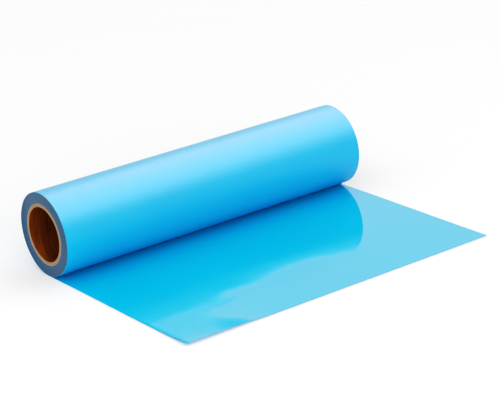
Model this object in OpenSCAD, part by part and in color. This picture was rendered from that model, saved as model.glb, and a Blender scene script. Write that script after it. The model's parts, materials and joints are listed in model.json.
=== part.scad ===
// Roll of self-adhesive sign vinyl on a paperboard core, with a length of the web laid out flat.
// Millimetres. The roll's axis is X and its middle is the origin. The web leaves the bottom
// of the roll and runs towards -Y. Up is +Z.
// The web is two layers: a glossy colour film and the satin plastic liner on its back.
// It is wound colour side in, so the liner faces outwards on the roll, and downwards where
// the web lies flat.

/* [Roll] */
// Width of the web, and length of the core
web_w = 500; // [300:10:1220]
// Outer diameter of the roll
roll_d = 118; // [100:1:160]

/* [Core] */
// Bore of the core: a 2 inch or a 3 inch tube
core_bore_d = 76.2; // [50.8, 76.2]
// Thickness of the thin kraft ply that faces the bore, and of the one that faces the web
face_ply_t = 0.4; // [0.2:0.1:0.6]
// Thickness of one board ply between them
board_ply_t = 0.7; // [0.4:0.1:0.8]
// Number of board plies
board_plies = 6; // [3:1:8]

/* [Web] */
// Thickness of the colour film with its adhesive
film_t = 0.08; // [0.05:0.01:0.12]
// Thickness of the liner
liner_t = 0.12; // [0.08:0.01:0.16]
// Thickness of the double-sided tape that starts the web on the core
tape_t = 0.1; // [0.05:0.05:0.2]
// Width of that tape, measured round the core
tape_w = 25; // [12:1:50]

/* [Laid-out length] */
// Length of the web from the line where it leaves the roll to its cut edge
laid_l = 325; // [280:5:600]
// Length of the lead, the stretch beside the roll that reaches to the tail as the web pays out
lead_l = 100; // [80:5:120]
// Angle through which the lead still follows the roll, behind the line where it leaves it
lead_wrap = 15; // [5:1:30]
// Distance from the roll to the line about which the free end lifts
lift_y = 150; // [130:5:160]
// Width of the strip of film along the cut edge that peels off the liner
peel_w = 75; // [30:5:100]

/* [Fit] */
// Gap between the roll and the web beneath it
run_gap = 0.1; // [0.05:0.05:0.3]

/* [Hidden] */
$fn = 96;
eps = 1;                                  // overshoot of a cutting solid
web_t = film_t + liner_t;
ply_n = board_plies + 2;
bore_r = core_bore_d / 2;
core_r = bore_r + 2 * face_ply_t + board_plies * board_ply_t;
tape_r = core_r + tape_t;                 // outside of the tape, inside of the first turn
pack_in_r = tape_r + web_t;               // inside of the wound turns, past the first turn
roll_r = roll_d / 2;
pack_out_r = roll_r - web_t;              // outside of the wound turns, under the last turn
lead_r = roll_r + run_gap;                // inside of the lead, where it follows the roll
film_z = -lead_r - film_t;                // underside of the laid-out film, on its liner
floor_z = -lead_r - web_t;                // the surface that the web lies on
peel_y = laid_l - peel_w;                 // distance from the roll to the peel strip
tape_deg = tape_w / core_r * 180 / PI;
wrap_steps = 15;                          // flat facets in the lead's round stretch

function is_face_ply(n) = n == 1 || n == ply_n;
function ply_t(n) = is_face_ply(n) ? face_ply_t : board_ply_t;
function ply_in_r(n) = n == 1 ? bore_r : bore_r + face_ply_t + (n - 2) * board_ply_t;
function reversed(list) = [for (i = [len(list) - 1 : -1 : 0]) list[i]];

// A tube round the roll's axis, as long as the web is wide.
module ring(in_r, out_r) {
    rotate([0, 90, 0])
        difference() {
            cylinder(r = out_r, h = web_w, center = true);
            cylinder(r = in_r, h = web_w + 2 * eps, center = true);
        }
}

// Part of such a tube, through turn degrees, with its middle straight down.
module ring_part(in_r, out_r, turn) {
    rotate([0, 90, 0])
        translate([0, 0, -web_w / 2])
            rotate([0, 0, -turn / 2])
                rotate_extrude(angle = turn)
                    translate([in_r, 0])
                        square([out_r - in_r, web_w]);
}

// A flat stretch of one layer of the web, between two distances from the roll.
module flat(near, far, bottom_z, t) {
    translate([-web_w / 2, -far, bottom_z])
        cube([web_w, far - near, t]);
}

// One layer of the lead: it follows the roll down to its lowest line, then lies flat.
module lead_layer(in_r, t) {
    angles = [for (i = [0 : wrap_steps]) lead_wrap * i / wrap_steps];
    upper = [for (a = angles) in_r * [sin(a), -cos(a)]];
    lower = [for (a = angles) (in_r + t) * [sin(a), -cos(a)]];
    outline = concat([[-lead_l, -in_r]], upper, reversed(lower), [[-lead_l, -in_r - t]]);
    rotate([90, 0, 90])
        linear_extrude(web_w, center = true)
            polygon(outline);
}

// One paper ply of the spiral-wound core. Ply 1 faces the bore.
module core_ply(n) {
    color(n == 1 ? "saddlebrown" : "tan")
        ring(ply_in_r(n), ply_in_r(n) + ply_t(n));
}

// Double-sided tape that holds the start of the web on the core.
module starter_tape() {
    color("whitesmoke")
        ring_part(core_r, tape_r, tape_deg);
}

module first_turn_film() {
    color("deepskyblue")
        ring(tape_r, tape_r + film_t);
}

module first_turn_liner() {
    color("lightskyblue")
        ring(tape_r + film_t, pack_in_r);
}

// All the turns between the first and the last, as one solid ring.
module wound_turns() {
    color("steelblue")
        ring(pack_in_r, pack_out_r);
}

module last_turn_film() {
    color("deepskyblue")
        ring(pack_out_r, pack_out_r + film_t);
}

module last_turn_liner() {
    color("lightskyblue")
        ring(pack_out_r + film_t, roll_r);
}

// The lead runs from the back of the roll, under it, to the tail.
module lead_film() {
    color("deepskyblue")
        lead_layer(lead_r, film_t);
}

module lead_liner() {
    color("lightskyblue")
        lead_layer(lead_r + film_t, liner_t);
}

// The tail is drawn out as the roll turns.
module tail_film() {
    color("deepskyblue")
        flat(lead_l, lift_y, film_z, film_t);
}

module tail_liner() {
    color("lightskyblue")
        flat(lead_l, lift_y, floor_z, liner_t);
}

// The free end lifts off the surface. Its liner runs on to the cut edge.
module free_end_film() {
    color("deepskyblue")
        flat(lift_y, peel_y, film_z, film_t);
}

module free_end_liner() {
    color("lightskyblue")
        flat(lift_y, laid_l, floor_z, liner_t);
}

// The strip of film along the cut edge, which folds back off its liner.
module peel_strip_film() {
    color("deepskyblue")
        flat(peel_y, laid_l, film_z, film_t);
}

for (n = [1 : ply_n])
    core_ply(n);
starter_tape();
first_turn_film();
first_turn_liner();
wound_turns();
last_turn_film();
last_turn_liner();
lead_film();
lead_liner();
tail_film();
tail_liner();
free_end_film();
free_end_liner();
peel_strip_film();
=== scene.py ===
"""A roll of sign vinyl on its paperboard core, with a length of the web laid out flat.

Metres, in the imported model's frame: the roll's axis is X, the web runs from under the roll towards -Y,
and Z is up. A place on the laid-out web is (x, d): d is the distance from the line where it leaves the roll.
"""
import json
import math

import bmesh
import bpy
import numpy as np
from mathutils import Matrix, Vector


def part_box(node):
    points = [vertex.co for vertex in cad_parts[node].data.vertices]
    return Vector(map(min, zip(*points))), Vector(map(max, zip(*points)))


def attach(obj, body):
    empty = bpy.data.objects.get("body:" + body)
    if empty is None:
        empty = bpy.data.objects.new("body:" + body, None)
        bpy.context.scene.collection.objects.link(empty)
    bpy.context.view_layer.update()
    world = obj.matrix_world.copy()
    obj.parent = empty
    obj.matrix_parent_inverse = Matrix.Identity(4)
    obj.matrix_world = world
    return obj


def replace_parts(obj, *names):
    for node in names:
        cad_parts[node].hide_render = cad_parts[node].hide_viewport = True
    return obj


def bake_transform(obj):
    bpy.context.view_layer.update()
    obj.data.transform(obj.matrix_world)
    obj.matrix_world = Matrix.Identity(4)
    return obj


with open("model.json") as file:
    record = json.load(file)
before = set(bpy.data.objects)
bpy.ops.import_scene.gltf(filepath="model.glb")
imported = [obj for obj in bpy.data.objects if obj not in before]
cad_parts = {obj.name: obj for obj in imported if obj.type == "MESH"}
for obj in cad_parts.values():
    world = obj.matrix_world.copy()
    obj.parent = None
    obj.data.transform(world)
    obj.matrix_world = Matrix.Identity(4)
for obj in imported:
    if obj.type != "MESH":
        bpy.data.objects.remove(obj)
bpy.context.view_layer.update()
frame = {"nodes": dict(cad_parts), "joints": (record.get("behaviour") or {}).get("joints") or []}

MM = 0.001
rng = np.random.default_rng(7)


# ---------------------------------------------------------------- sizes, read from the frame

def radii(node):
    """Inner and outer radius of a ring round the roll's axis."""
    co = np.array([v.co for v in frame["nodes"][node].data.vertices])
    r = np.hypot(co[:, 1], co[:, 2])
    return float(r.min()), float(r.max())


def joint_d(name):
    """Distance from the roll to a joint's line."""
    joint = next(j for j in frame["joints"] if j["name"] == name)
    return -joint["pos_m"][1]


half_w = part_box("tail_film")[1].x
top_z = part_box("tail_film")[1].z
film_t = top_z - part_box("tail_film")[0].z
liner_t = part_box("tail_liner")[1].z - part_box("tail_liner")[0].z
web_t = film_t + liner_t
floor_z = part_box("tail_liner")[0].z
lead_r = -top_z
lead_d = -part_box("lead_film")[0].y
cut_d = -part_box("free_end_liner")[0].y
peel_d = joint_d("film_peel")
wrap_l = lead_r * math.asin(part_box("lead_film")[1].y / (lead_r + film_t))


# ---------------------------------------------------------------- camera and light

# What shines reflects a slightly warm studio.
WARM = (1.0, 0.93, 0.96)
PLAIN = (1, 1, 1)

# The tones of the picture: deep in the darks and soft in the lights.
# Each pair is the scene's light, then how it shows.
WHITE = (1.25, 1.0)
RESPONSE = (
    (0.05, 0.016), (0.10, 0.052), (0.20, 0.155), (0.35, 0.33), (0.60, 0.60), (0.90, 0.81), (1.10, 0.91),
)


def direction(azimuth, elevation):
    """The direction from the object to a place, from angles in degrees. Azimuth 0 is in front, at -Y."""
    a = math.radians(azimuth)
    e = math.radians(elevation)
    return Vector((math.sin(a) * math.cos(e), -math.cos(a) * math.cos(e), math.sin(e)))


def make_camera():
    """A long lens, a little off level, that looks down at the roll's near end and the laid-out web."""
    distance = 2.582
    tilt = math.radians(-4.31)
    target = Vector((-0.0051, -0.1344, 0.0062))
    back = direction(-35.4, 20.2)
    level = (-back).cross(Vector((0, 0, 1))).normalized()
    up = level.cross(-back)
    right = math.cos(tilt) * level + math.sin(tilt) * up
    up = math.cos(tilt) * up - math.sin(tilt) * level
    data = bpy.data.cameras.new("camera")
    data.sensor_width = 36.0
    data.lens = 137.6
    camera = bpy.data.objects.new("camera", data)
    camera.matrix_world = Matrix((right, up, back)).transposed().to_4x4()
    camera.location = target + back * distance
    bpy.context.scene.collection.objects.link(camera)
    bpy.context.scene.camera = camera


def gradient(nt, place, towards, dark, bright, tint=PLAIN):
    """A background that brightens from dark, level with or behind a direction, to bright along it."""
    along = nt.nodes.new("ShaderNodeVectorMath")
    along.operation = "DOT_PRODUCT"
    along.inputs[1].default_value = Vector(towards).normalized()
    ramp = nt.nodes.new("ShaderNodeMapRange")
    ramp.inputs["From Min"].default_value = -0.1
    ramp.inputs["From Max"].default_value = 1.0
    ramp.inputs["To Min"].default_value = dark
    ramp.inputs["To Max"].default_value = bright
    sky = nt.nodes.new("ShaderNodeBackground")
    sky.inputs["Color"].default_value = (*tint, 1)
    nt.links.new(place, along.inputs[0])
    nt.links.new(along.outputs["Value"], ramp.inputs["Value"])
    nt.links.new(ramp.outputs["Result"], sky.inputs["Strength"])
    return sky.outputs["Background"]


def make_world():
    """A white studio: it lights mostly from above and in front, and what shines reflects its bright back."""
    above_in_front = (-0.15, -0.45, 0.88)
    low_behind = (0.50, 0.74, 0.20)
    world = bpy.data.worlds.new("studio")
    bpy.context.scene.world = world
    world.use_nodes = True
    nt = world.node_tree
    nt.nodes.clear()
    place = nt.nodes.new("ShaderNodeTexCoord").outputs["Generated"]
    light = gradient(nt, place, above_in_front, dark=0.496, bright=1.47)
    mirrored = gradient(nt, place, low_behind, dark=0.30, bright=1.54, tint=WARM)
    choose = nt.nodes.new("ShaderNodeMixShader")
    nt.links.new(nt.nodes.new("ShaderNodeLightPath").outputs["Is Glossy Ray"], choose.inputs["Fac"])
    nt.links.new(light, choose.inputs[1])
    nt.links.new(mirrored, choose.inputs[2])
    out = nt.nodes.new("ShaderNodeOutputWorld")
    nt.links.new(choose.outputs["Shader"], out.inputs["Surface"])


def make_panel(name, away, distance, length, width, watts, color=PLAIN):
    """A rectangular light that faces the object. The camera doesn't see it."""
    data = bpy.data.lights.new(name, "AREA")
    data.shape = "RECTANGLE"
    data.size = length
    data.size_y = width
    data.energy = watts
    data.color = color
    light = bpy.data.objects.new(name, data)
    light.location = away * distance
    light.rotation_euler = away.to_track_quat("Z", "Y").to_euler()
    light.visible_camera = False
    bpy.context.scene.collection.objects.link(light)
    return light


def make_lights():
    """A fill in front, which makes no highlight, and the softbox that shines on the roll's satin side."""
    in_front = direction(-20, 18)
    overhead = Vector((0.50, -0.04, 0.86)).normalized()
    fill = make_panel("front_fill", in_front, distance=4.0, length=4.0, width=1.8, watts=73.0)
    fill.visible_glossy = False
    softbox = make_panel("softbox", overhead, distance=5.0, length=10.0, width=3.7, watts=700.0, color=WARM)
    softbox.visible_diffuse = False


def make_floor():
    """The plain pale surface that the web lies on."""
    half = 15.0
    drop = 0.02 * MM
    paper_white = 0.90
    corners = [(-half, -half), (half, -half), (half, half), (-half, half)]
    mesh = bpy.data.meshes.new("floor")
    mesh.from_pydata([(x, y, floor_z - drop) for x, y in corners], [], [(0, 1, 2, 3)])
    floor = bpy.data.objects.new("floor", mesh)
    bpy.context.scene.collection.objects.link(floor)
    paper = bpy.data.materials.new("floor")
    paper.use_nodes = True
    shader = paper.node_tree.nodes["Principled BSDF"]
    shader.inputs["Base Color"].default_value = (paper_white, paper_white, paper_white, 1)
    shader.inputs["Roughness"].default_value = 0.9
    shader.inputs["Specular IOR Level"].default_value = 0.1
    shader.inputs["Emission Color"].default_value = (*PLAIN, 1)
    shader.inputs["Emission Strength"].default_value = 0.12
    mesh.materials.append(paper)


def set_response():
    """Gives the picture the tones of RESPONSE."""
    view = bpy.context.scene.view_settings
    view.view_transform = "Standard"
    view.use_curve_mapping = True
    mapping = view.curve_mapping
    mapping.use_clip = False
    combined = mapping.curves[3]
    combined.points[-1].location = WHITE
    for scene_light, shown in RESPONSE:
        combined.points.new(scene_light, shown)
    mapping.update()


# ---------------------------------------------------------------- materials

# The index of refraction of the plastic and the paper alike.
REFRACTION = 1.5


class Finish:
    """A material made of a Principled shader and a few procedural nodes in the piece's own coordinates."""

    def __init__(self, name, color, roughness):
        self.material = bpy.data.materials.new(name)
        self.material.use_nodes = True
        self.nt = self.material.node_tree
        self.shader = self.nt.nodes["Principled BSDF"]
        self.shader.inputs["Base Color"].default_value = (*color, 1)
        self.shader.inputs["Roughness"].default_value = roughness
        self.shader.inputs["IOR"].default_value = REFRACTION
        self.place = self.nt.nodes.new("ShaderNodeTexCoord").outputs["Object"]

    def node(self, kind, **settings):
        made = self.nt.nodes.new(kind)
        for key, value in settings.items():
            setattr(made, key, value)
        return made

    def link(self, source, target):
        self.nt.links.new(source, target)

    def math(self, operation, a, b=None):
        made = self.node("ShaderNodeMath", operation=operation)
        for socket, value in zip(made.inputs, (a, b)):
            if isinstance(value, (int, float)):
                socket.default_value = value
            elif value is not None:
                self.link(value, socket)
        return made.outputs[0]

    def coordinates(self):
        xyz = self.node("ShaderNodeSeparateXYZ")
        self.link(self.place, xyz.inputs[0])
        return xyz.outputs["X"], xyz.outputs["Y"], xyz.outputs["Z"]

    def noise(self, per_metre, detail=3.0, vector=None, rough=0.5):
        made = self.node("ShaderNodeTexNoise")
        made.inputs["Scale"].default_value = per_metre
        made.inputs["Detail"].default_value = detail
        made.inputs["Roughness"].default_value = rough
        self.link(vector or self.place, made.inputs["Vector"])
        return made.outputs["Fac"]

    def between(self, value, low, high, start=0.3, end=0.7):
        """A value from low to high, as the one given goes from start to end."""
        made = self.node("ShaderNodeMapRange")
        made.inputs["From Min"].default_value = start
        made.inputs["From Max"].default_value = end
        made.inputs["To Min"].default_value = low
        made.inputs["To Max"].default_value = high
        self.link(value, made.inputs["Value"])
        return made.outputs["Result"]

    def mix(self, share, a, b):
        made = self.node("ShaderNodeMix", data_type="RGBA")
        self.link(share, made.inputs["Factor"])
        for socket, value in ((made.inputs["A"], a), (made.inputs["B"], b)):
            if isinstance(value, tuple):
                socket.default_value = (*value, 1)
            else:
                self.link(value, socket)
        return made.outputs["Result"]

    def clouds(self, noise, a, b):
        """The colour, in patches of a and b."""
        self.color(self.mix(self.between(noise, 0.0, 1.0), a, b))

    def color(self, source):
        self.link(source, self.shader.inputs["Base Color"])

    def roughness(self, noise, low, high):
        self.link(self.between(noise, low, high), self.shader.inputs["Roughness"])

    def bump(self, height, metres):
        made = self.node("ShaderNodeBump")
        made.inputs["Distance"].default_value = metres
        self.link(height, made.inputs["Height"])
        self.link(made.outputs["Normal"], self.shader.inputs["Normal"])


def film_face():
    """Glossy blue film, with the faint orange peel of cast vinyl."""
    f = Finish("film_gloss", (0.0, 0.427, 0.732), roughness=0.03)
    f.clouds(f.noise(9.0, detail=2.0), (0.0, 0.420, 0.724), (0.001, 0.434, 0.740))
    f.roughness(f.noise(60.0), low=0.02, high=0.045)
    f.bump(f.noise(260.0, detail=2.0), 0.0006 * MM)
    return f.material


def film_back():
    """The film's adhesive side: the same blue under a dull, finely embossed coat."""
    cells_per_metre = 900.0
    f = Finish("film_adhesive", (0.02, 0.34, 0.58), roughness=0.35)
    cells = f.node("ShaderNodeTexVoronoi", feature="DISTANCE_TO_EDGE")
    cells.inputs["Scale"].default_value = cells_per_metre
    f.link(f.place, cells.inputs["Vector"])
    f.clouds(f.noise(30.0), (0.018, 0.33, 0.56), (0.03, 0.36, 0.60))
    f.roughness(f.noise(300.0), low=0.28, high=0.42)
    f.bump(cells.outputs["Distance"], 0.03 * MM)
    return f.material


def liner_face():
    """The liner's outer side: satin plastic, as blue as the film behind it."""
    f = Finish("liner_satin", (0.0, 0.35, 0.645), roughness=0.38)
    f.shader.inputs["Specular IOR Level"].default_value = 0.6
    f.clouds(f.noise(14.0), (0.000, 0.330, 0.628), (0.001, 0.346, 0.646))
    f.roughness(f.noise(220.0, detail=4.0), low=0.43, high=0.51)
    f.bump(f.noise(1800.0), 0.004 * MM)
    return f.material


def liner_release():
    """The liner's release side, bare where the film is peeled off: smooth and milky."""
    f = Finish("liner_release", (0.62, 0.74, 0.82), roughness=0.2)
    f.clouds(f.noise(20.0), (0.60, 0.73, 0.81), (0.66, 0.77, 0.84))
    f.roughness(f.noise(120.0), low=0.16, high=0.26)
    f.bump(f.noise(500.0, detail=2.0), 0.002 * MM)
    return f.material


def web_edges(start_r, pitch):
    """The wound web's cut edges: a spiral of dark film edges and greyer liner edges, no two turns alike."""
    film_edge, liner_edge = (0.010, 0.085, 0.200), (0.058, 0.128, 0.200)
    dull, clear = (0.030, 0.080, 0.136), (0.055, 0.124, 0.196)
    f = Finish("web_edges", (0.07, 0.12, 0.18), roughness=0.5)
    _, y, z = f.coordinates()
    r = f.math("SQRT", f.math("ADD", f.math("MULTIPLY", y, y), f.math("MULTIPLY", z, z)))
    turn = f.math("DIVIDE", f.math("ARCTAN2", y, z), math.tau)
    count = f.math("SUBTRACT", f.math("DIVIDE", f.math("SUBTRACT", r, start_r), pitch), turn)
    layer = f.math("FRACT", count)
    whole = f.math("FLOOR", count)
    each = f.node("ShaderNodeTexWhiteNoise", noise_dimensions="1D")
    f.link(whole, each.inputs["W"])
    edge = f.mix(f.math("LESS_THAN", layer, film_t / pitch), liner_edge, film_edge)
    shade = f.mix(each.outputs["Value"], dull, clear)
    patch = f.between(f.noise(90.0), 0.35, 0.65)
    f.color(f.mix(patch, edge, shade))
    f.roughness(f.noise(400.0), low=0.42, high=0.6)
    return f.material


def board_edge():
    """Cut chipboard: tan, with darker and lighter fibres and flecks."""
    f = Finish("board_edge", (0.55, 0.36, 0.20), roughness=0.9)
    fibres = f.noise(1400.0, detail=4.0, rough=0.7)
    base = f.mix(f.between(fibres, 0.0, 1.0), (0.28, 0.180, 0.105), (0.42, 0.285, 0.175))
    flecks = f.between(f.noise(3200.0, detail=1.0), 0.0, 0.5, start=0.66, end=0.74)
    f.color(f.mix(flecks, base, (0.21, 0.12, 0.06)))
    f.bump(fibres, 0.08 * MM)
    return f.material


def kraft(name, dark, light, advance):
    """Kraft paper: its fibres and rubbed streaks follow the winding, which advances along x as it turns."""
    fine, broad = (700.0, 0.9), (90.0, 0.5)
    f = Finish(name, dark, roughness=0.7)
    f.shader.inputs["Specular IOR Level"].default_value = 0.3
    x, y, z = f.coordinates()
    around = f.math("ARCTAN2", y, z)
    across = f.math("ADD", x, f.math("MULTIPLY", around, advance))
    lays = []
    for per_metre, reach in (fine, broad):
        lay = f.node("ShaderNodeCombineXYZ")
        f.link(f.math("MULTIPLY", across, per_metre), lay.inputs["X"])
        f.link(f.math("MULTIPLY", f.math("SINE", around), reach), lay.inputs["Y"])
        f.link(f.math("MULTIPLY", f.math("COSINE", around), reach), lay.inputs["Z"])
        lays.append(f.noise(1.0, vector=lay.outputs[0], rough=0.55))
    fibres, bands = lays
    tone = f.math("ADD", f.math("MULTIPLY", fibres, 0.65), f.math("MULTIPLY", bands, 0.35))
    f.color(f.mix(f.between(tone, 0.0, 1.0, start=0.36, end=0.64), dark, light))
    f.roughness(fibres, low=0.55, high=0.8)
    f.bump(fibres, 0.05 * MM)
    return f.material


def tape_finish():
    """Yellowed double-sided tape."""
    f = Finish("tape", (0.72, 0.69, 0.58), roughness=0.4)
    f.clouds(f.noise(80.0), (0.68, 0.65, 0.53), (0.76, 0.74, 0.64))
    f.bump(f.noise(900.0), 0.01 * MM)
    return f.material


# ---------------------------------------------------------------- meshes

def add_piece(name, mesh, body=None):
    piece = bpy.data.objects.new(name, mesh)
    bpy.context.scene.collection.objects.link(piece)
    if body:
        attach(piece, body)
    return piece


def strip_faces(rows):
    """Quads between neighbouring rows of vertex numbers."""
    return [
        (a[i], a[i + 1], b[i + 1], b[i])
        for a, b in zip(rows, rows[1:])
        for i in range(len(a) - 1)
    ]


def spread(start, end, step):
    """Evenly spaced values from start to end, about a step apart."""
    count = max(2, round((end - start) / step) + 1)
    return np.linspace(start, end, count)


def weld(mesh):
    """Joins points that coincide and drops what has no area, and makes every face look outwards."""
    same_place = 0.001 * MM
    no_length = 0.0001 * MM
    bm = bmesh.new()
    bm.from_mesh(mesh)
    bmesh.ops.remove_doubles(bm, verts=bm.verts, dist=same_place)
    bmesh.ops.dissolve_degenerate(bm, edges=bm.edges, dist=no_length)
    bmesh.ops.recalc_face_normals(bm, faces=bm.faces)
    bm.to_mesh(mesh)
    bm.free()


def ring_mesh(name, inner, outer, xs, segments, finishes):
    """A closed tube round the roll's axis. inner and outer give the radius at (x, angle); xs runs end to end.

    finishes are for the outside, the bore and the ends."""
    sharp = math.radians(40)
    angle = np.arange(segments) * math.tau / segments
    x, a = np.meshgrid(xs, angle, indexing="ij")
    rows = []
    points = []
    for radius in (outer(x, a), inner(x, a)):
        rows.append(np.arange(x.size).reshape(x.shape) + len(points) * x.size)
        points.append(np.stack([x, radius * np.sin(a), radius * np.cos(a)], -1).reshape(-1, 3))
    outside, bore = (np.concatenate([n, n[:, :1]], 1) for n in rows)
    skin = strip_faces(outside.tolist())
    wall = strip_faces(bore[:, ::-1].tolist())
    ends = strip_faces([bore[0].tolist(), outside[0].tolist()])
    ends += strip_faces([outside[-1].tolist(), bore[-1].tolist()])
    mesh = bpy.data.meshes.new(name)
    mesh.from_pydata(np.concatenate(points).tolist(), [], skin + wall + ends)
    for finish in finishes:
        mesh.materials.append(finish)
    mesh.polygons.foreach_set("material_index", [0] * len(skin) + [1] * len(wall) + [2] * len(ends))
    mesh.polygons.foreach_set("use_smooth", [True] * len(mesh.polygons))
    mesh.set_sharp_from_angle(angle=sharp)
    return mesh


# ---------------------------------------------------------------- the laid-out web

# The web's slack, as rounded rises: the height, the middle and the half widths, across and along the web.
HUMPS = (
    (1.7 * MM, (0.012, 0.186), (0.060, 0.034)),
    (0.30 * MM, (-0.105, 0.216), (0.018, 0.012)),
    (0.07 * MM, (-0.064, 0.249), (0.008, 0.006)),
)

# Past curl_d the free end curls: it rises by the distance past there, its square and its cube.
curl_d = 0.244
CURL = (0.003, 0.53, -1.03)

# The share of that curl: the near corner has all of it, from the second place across the web on, and the rest
# of the end has a tenth, as far as the first.
CORNER = (-0.113, -0.193)
REST_CURL = 0.1

# How high the web lies off the roll. Its near edge turns up, by the square of the distance into a band.
LIE = 0.6 * MM
EDGE_BAND = 4 * MM
EDGE_TURN = 25.0


def smoothstep(start, end, v):
    t = np.clip((v - start) / (end - start), 0, 1)
    return t * t * (3 - 2 * t)


def bell(v, middle, half):
    """A rounded rise: 1 at the middle, and about 0.6 at a half width to either side."""
    return np.exp(-(((v - middle) / half) ** 2) / 2)


def past(start, v):
    return np.clip(v - start, 0, None)


def curl_rise(x, d):
    """The curl of the free end. It steepens, so the corner's mirror image stays on the roll's very top."""
    by_length, by_square, by_cube = CURL
    share = (1 - REST_CURL) * smoothstep(*CORNER, x) + REST_CURL
    u = past(curl_d, d)
    return share * (by_length * u + by_square * u**2 + by_cube * u**3)


def corner_rise(x, d):
    """The smaller folds near the corner. The last of the cut end turns down again, by a hair."""
    step_height = 0.17 * MM
    lip_turn = 0.20
    cut_turn = 3.5
    cut_band = 2.5 * MM
    step = step_height * smoothstep(0.239, 0.264, d) * bell(x, -0.130, 0.025)
    lip = lip_turn * past(0.290, d) ** 2 * bell(x, -0.175, 0.022)
    cut = cut_turn * past(cut_d - cut_band, d) ** 2 * smoothstep(-0.13, -0.16, x)
    return step + lip - cut


def web_rise(x, d):
    """How far the web stands off the floor at (x, d): it is slack, and its free end curls up a little."""
    rise = curl_rise(x, d) + corner_rise(x, d)
    for height, middle, half in HUMPS:
        rise += height * bell(x, middle[0], half[0]) * bell(d, middle[1], half[1])
    rise += LIE * smoothstep(0.020, 0.080, d)
    rise += EDGE_TURN * past(half_w - EDGE_BAND, -x) ** 2 * smoothstep(0.010, 0.060, d)
    return rise


def web_place(x, d, depth):
    """Point and normal of the web, depth below its upper face. Where d < 0 it goes up the roll's back."""
    step = 0.05 * MM
    rise = web_rise(x, d)
    dx = (web_rise(x + step, d) - web_rise(x - step, d)) / (2 * step)
    dd = (web_rise(x, d + step) - web_rise(x, d - step)) / (2 * step)
    turn = -np.minimum(d, 0) / lead_r
    base = np.stack([x, np.where(d < 0, lead_r * np.sin(turn), -d), -lead_r * np.cos(turn)], -1)
    up = np.stack([0 * x, -np.sin(turn), np.cos(turn)], -1)
    along = np.stack([0 * x, -np.cos(turn), -np.sin(turn)], -1)
    normal = up - dd[..., None] * along
    normal[..., 0] -= dx
    normal /= np.linalg.norm(normal, axis=-1, keepdims=True)
    return base + up * (rise - depth)[..., None], normal


def web_layer(name, d_rows, upper, lower, upper_finish, lower_finish):
    """One layer of the web as a thin closed solid, between two depths below the web's upper face."""
    band_end = -half_w + EDGE_BAND
    xs = np.concatenate([spread(-half_w, band_end, 1 * MM)[:-1], spread(band_end, half_w, 4 * MM)])
    x, d = np.meshgrid(xs, d_rows)
    points, normals, numbers = [], [], []
    for depth, side in ((upper, 1), (lower, -1)):
        at, normal = web_place(x, d, np.full_like(x, depth))
        numbers.append(np.arange(x.size).reshape(x.shape) + len(points) * x.size)
        points.append(at.reshape(-1, 3))
        normals.append(side * normal.reshape(-1, 3))
    top, bottom = numbers
    faces = strip_faces(top[:, ::-1].tolist())
    uppers = len(faces)
    faces += strip_faces(bottom.tolist())
    broad = len(faces)
    rims = (
        (top[0], bottom[0]), (bottom[-1], top[-1]), (bottom[:, 0], top[:, 0]), (top[:, -1], bottom[:, -1])
    )
    for pair in rims:
        faces += strip_faces([p.tolist() for p in pair])
    mesh = bpy.data.meshes.new(name)
    mesh.from_pydata(np.concatenate(points).tolist(), [], faces)
    mesh.materials.append(upper_finish)
    mesh.materials.append(lower_finish)
    mesh.polygons.foreach_set("material_index", [0] * uppers + [1] * (len(faces) - uppers))
    mesh.polygons.foreach_set("use_smooth", [True] * len(faces))
    every = np.concatenate(normals)
    mesh.normals_split_custom_set([
        tuple(every[v]) if i < broad else tuple(mesh.polygons[i].normal)
        for i, face in enumerate(faces)
        for v in face
    ])
    return mesh


def web_rows():
    """Distances along the web for the lead, the middle and the strip that peels, closer where they bend."""
    wide, fine = 2.5 * MM, 1 * MM
    fold_end = peel_d + 20 * MM
    cut_start = cut_d - 5 * MM
    lead = np.concatenate([spread(-wrap_l, 0, 1.5 * MM)[:-1], spread(0, lead_d, wide)])
    middle = spread(lead_d, peel_d, wide)
    strip = np.concatenate([
        spread(peel_d, fold_end, fine)[:-1],
        spread(fold_end, cut_start, wide)[:-1],
        spread(cut_start, cut_d, fine),
    ])
    return lead, middle, strip


def make_web(film_top, film_under, liner_top, liner_under):
    gap = 0.004 * MM
    lead, middle, strip = web_rows()
    film = (0.0, film_t - gap, film_top, film_under)
    liner = (film_t, web_t, liner_top, liner_under)
    pieces = {
        "lead_film_web": (lead, film, "film", ("lead", "tail"), ["lead_film"]),
        "lead_liner_web": (lead, liner, "liner", ("lead", "tail"), ["lead_liner"]),
        "laid_film": (middle, film, "film", ("tail", "free_end"), ["tail_film", "free_end_film"]),
        "laid_liner": (
            np.concatenate([middle[:-1], strip]), liner, "liner", ("tail", "free_end"),
            ["tail_liner", "free_end_liner"],
        ),
        "peel_film": (strip, film, "film", ("free_end", "peel_strip"), ["peel_strip_film"]),
    }
    for name, (rows, layer, slot, bodies, nodes) in pieces.items():
        piece = add_piece(name, web_layer(name, rows, *layer))
        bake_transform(piece)
        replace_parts(piece, *nodes)


# ---------------------------------------------------------------- the roll

def constant(radius):
    return lambda x, a: np.full_like(x, radius)


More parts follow.
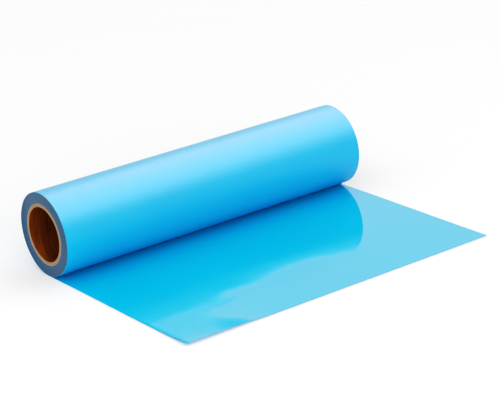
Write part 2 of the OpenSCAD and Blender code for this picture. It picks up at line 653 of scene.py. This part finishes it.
def make_last_turn(film_top, film_under, liner_top, liner_under):
    """The outermost turn of film and liner. Winding tension leaves faint bands round it."""
    segments = 288
    band_lengths = (47 * MM, 83 * MM, 131 * MM)
    band_depth = 0.012 * MM
    xs = spread(-half_w, half_w, 6 * MM)
    film_in, film_out = radii("last_turn_film")
    liner_out = radii("last_turn_liner")[1]
    starts = rng.uniform(0, math.tau, len(band_lengths))

    def outside(x, a):
        wave = sum(np.sin(x / length * math.tau + start) for length, start in zip(band_lengths, starts))
        return liner_out - band_depth * (1 + wave / len(band_lengths))

    finishes = (liner_under, liner_top, liner_under)
    mesh = ring_mesh("outer_turn_liner", constant(film_out), outside, xs, segments, finishes)
    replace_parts(add_piece("outer_turn_liner", mesh, "roll"), "last_turn_liner")
    ends = np.array([-half_w, half_w])
    finishes = (film_under, film_top, film_under)
    mesh = ring_mesh("outer_turn_film", constant(film_in), constant(film_out), ends, segments, finishes)
    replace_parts(add_piece("outer_turn_film", mesh, "roll"), "last_turn_film")


def end_rows(side, turns, r_in, r_out, turn_out, phase):
    """Rows of points round one end of the wound web: a ridge and a groove for each turn, outwards."""
    segments = 144
    groove = 0.05 * MM
    ripple = 0.012 * MM
    drift = 0.06 * MM
    drift_waves = 9
    early = 2
    angle = np.arange(segments + 1) * math.tau / segments
    # j counts half turns. It starts a turn early, so that all of the first row lies on r_in, clipped.
    for j in range(-early, 2 * turns + 1):
        k = j // 2 + early
        r = np.clip(r_in + web_t * (j / 2 + angle / math.tau), r_in, r_out)
        ridge = turn_out[k] + ripple * np.sin(3 * angle + phase[k])
        out = ridge if j % 2 else np.full_like(angle, -groove)
        slow = drift * np.sin((r - r_in) / (r_out - r_in) * drift_waves + side)
        x = side * (half_w - groove + out + slow)
        yield np.stack([x, r * np.sin(angle), r * np.cos(angle)], -1).tolist()


def make_wound_turns(edge):
    """The wound web, with every turn's cut edge standing a little proud of its neighbours or behind them."""
    r_in, r_out = radii("wound_turns")
    turns = round((r_out - r_in) / web_t)
    spare = 4
    unevenness = 0.02 * MM
    turn_out = rng.normal(0, unevenness, turns + spare)
    phase = rng.uniform(0, math.tau, turns + spare)
    points, faces, limits = [], [], []
    for side in (-1, 1):
        rows = []
        for row in end_rows(side, turns, r_in, r_out, turn_out, phase):
            rows.append(list(range(len(points), len(points) + len(row))))
            points += row
        faces += strip_faces([row if side > 0 else row[::-1] for row in rows])
        limits.append((rows[0], rows[-1]))
    (in_a, out_a), (in_b, out_b) = limits
    faces += strip_faces([out_a, out_b])
    faces += strip_faces([in_b, in_a])
    mesh = bpy.data.meshes.new("wound_web")
    mesh.from_pydata(points, [], faces)
    mesh.materials.append(edge)
    weld(mesh)
    mesh.polygons.foreach_set("use_smooth", [True] * len(mesh.polygons))
    mesh.set_sharp_from_angle(angle=math.radians(80))
    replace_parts(add_piece("wound_web", mesh, "roll"), "wound_turns")


def ply_radius(radius, step, end):
    """A ply's radius, which steps at both of its ends."""
    return lambda x, a: radius + np.where(np.abs(x) > end, step, 0.0)


def make_core(board, bore_kraft, face_kraft):
    """The plies of the spiral-wound core. The saw left each ply's ends a little short, and rubbed."""
    segments = 240
    edge = 0.12 * MM
    rubbed = 0.06 * MM
    short = (0.02, 0.22)
    names = sorted(n for n in frame["nodes"] if n.startswith("core_ply_"))
    looks = {names[0]: (bore_kraft, bore_kraft, "kraft_ply"), names[-1]: (face_kraft, board, "kraft_face")}
    for node in names:
        r_in, r_out = radii(node)
        end = half_w - rng.uniform(*short) * MM
        middle = spread(-end + 2 * MM, end - 2 * MM, 20 * MM)
        xs = np.concatenate([[-end, -end + edge], middle, [end - edge, end]])
        outside = ply_radius(r_out, -rubbed, end - edge / 2)
        bore = ply_radius(r_in, rubbed, end - edge / 2)
        skin, cut, slot = looks.get(node, (board, board, "board_ply"))
        mesh = ring_mesh(node.replace("core_", "board_"), bore, outside, xs, segments, (skin, skin, cut))
        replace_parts(add_piece(mesh.name, mesh, "roll"), node)


def finish_hidden(nodes):
    """New materials for the CAD nodes that stay: the start of the web, under the wound turns."""
    for node, material in nodes.items():
        for slot in frame["nodes"][node].material_slots:
            slot.material = material


def make_object():
    bore_advance = 0.006
    face_advance = 0.016
    film_top, film_under = film_face(), film_back()
    liner_under, liner_top = liner_face(), liner_release()
    make_web(film_top, film_under, liner_top, liner_under)
    make_last_turn(film_top, film_under, liner_top, liner_under)
    make_wound_turns(web_edges(radii("wound_turns")[0], web_t))
    make_core(
        board_edge(),
        kraft("kraft_bore", (0.080, 0.020, 0.002), (0.28, 0.088, 0.012), bore_advance),
        kraft("kraft_face", (0.38, 0.23, 0.12), (0.50, 0.33, 0.19), face_advance),
    )
    finish_hidden({
        "starter_tape": tape_finish(),
        "first_turn_film": film_top,
        "first_turn_liner": liner_under,
    })


make_camera()
make_world()
make_lights()
make_floor()
make_object()
set_response()
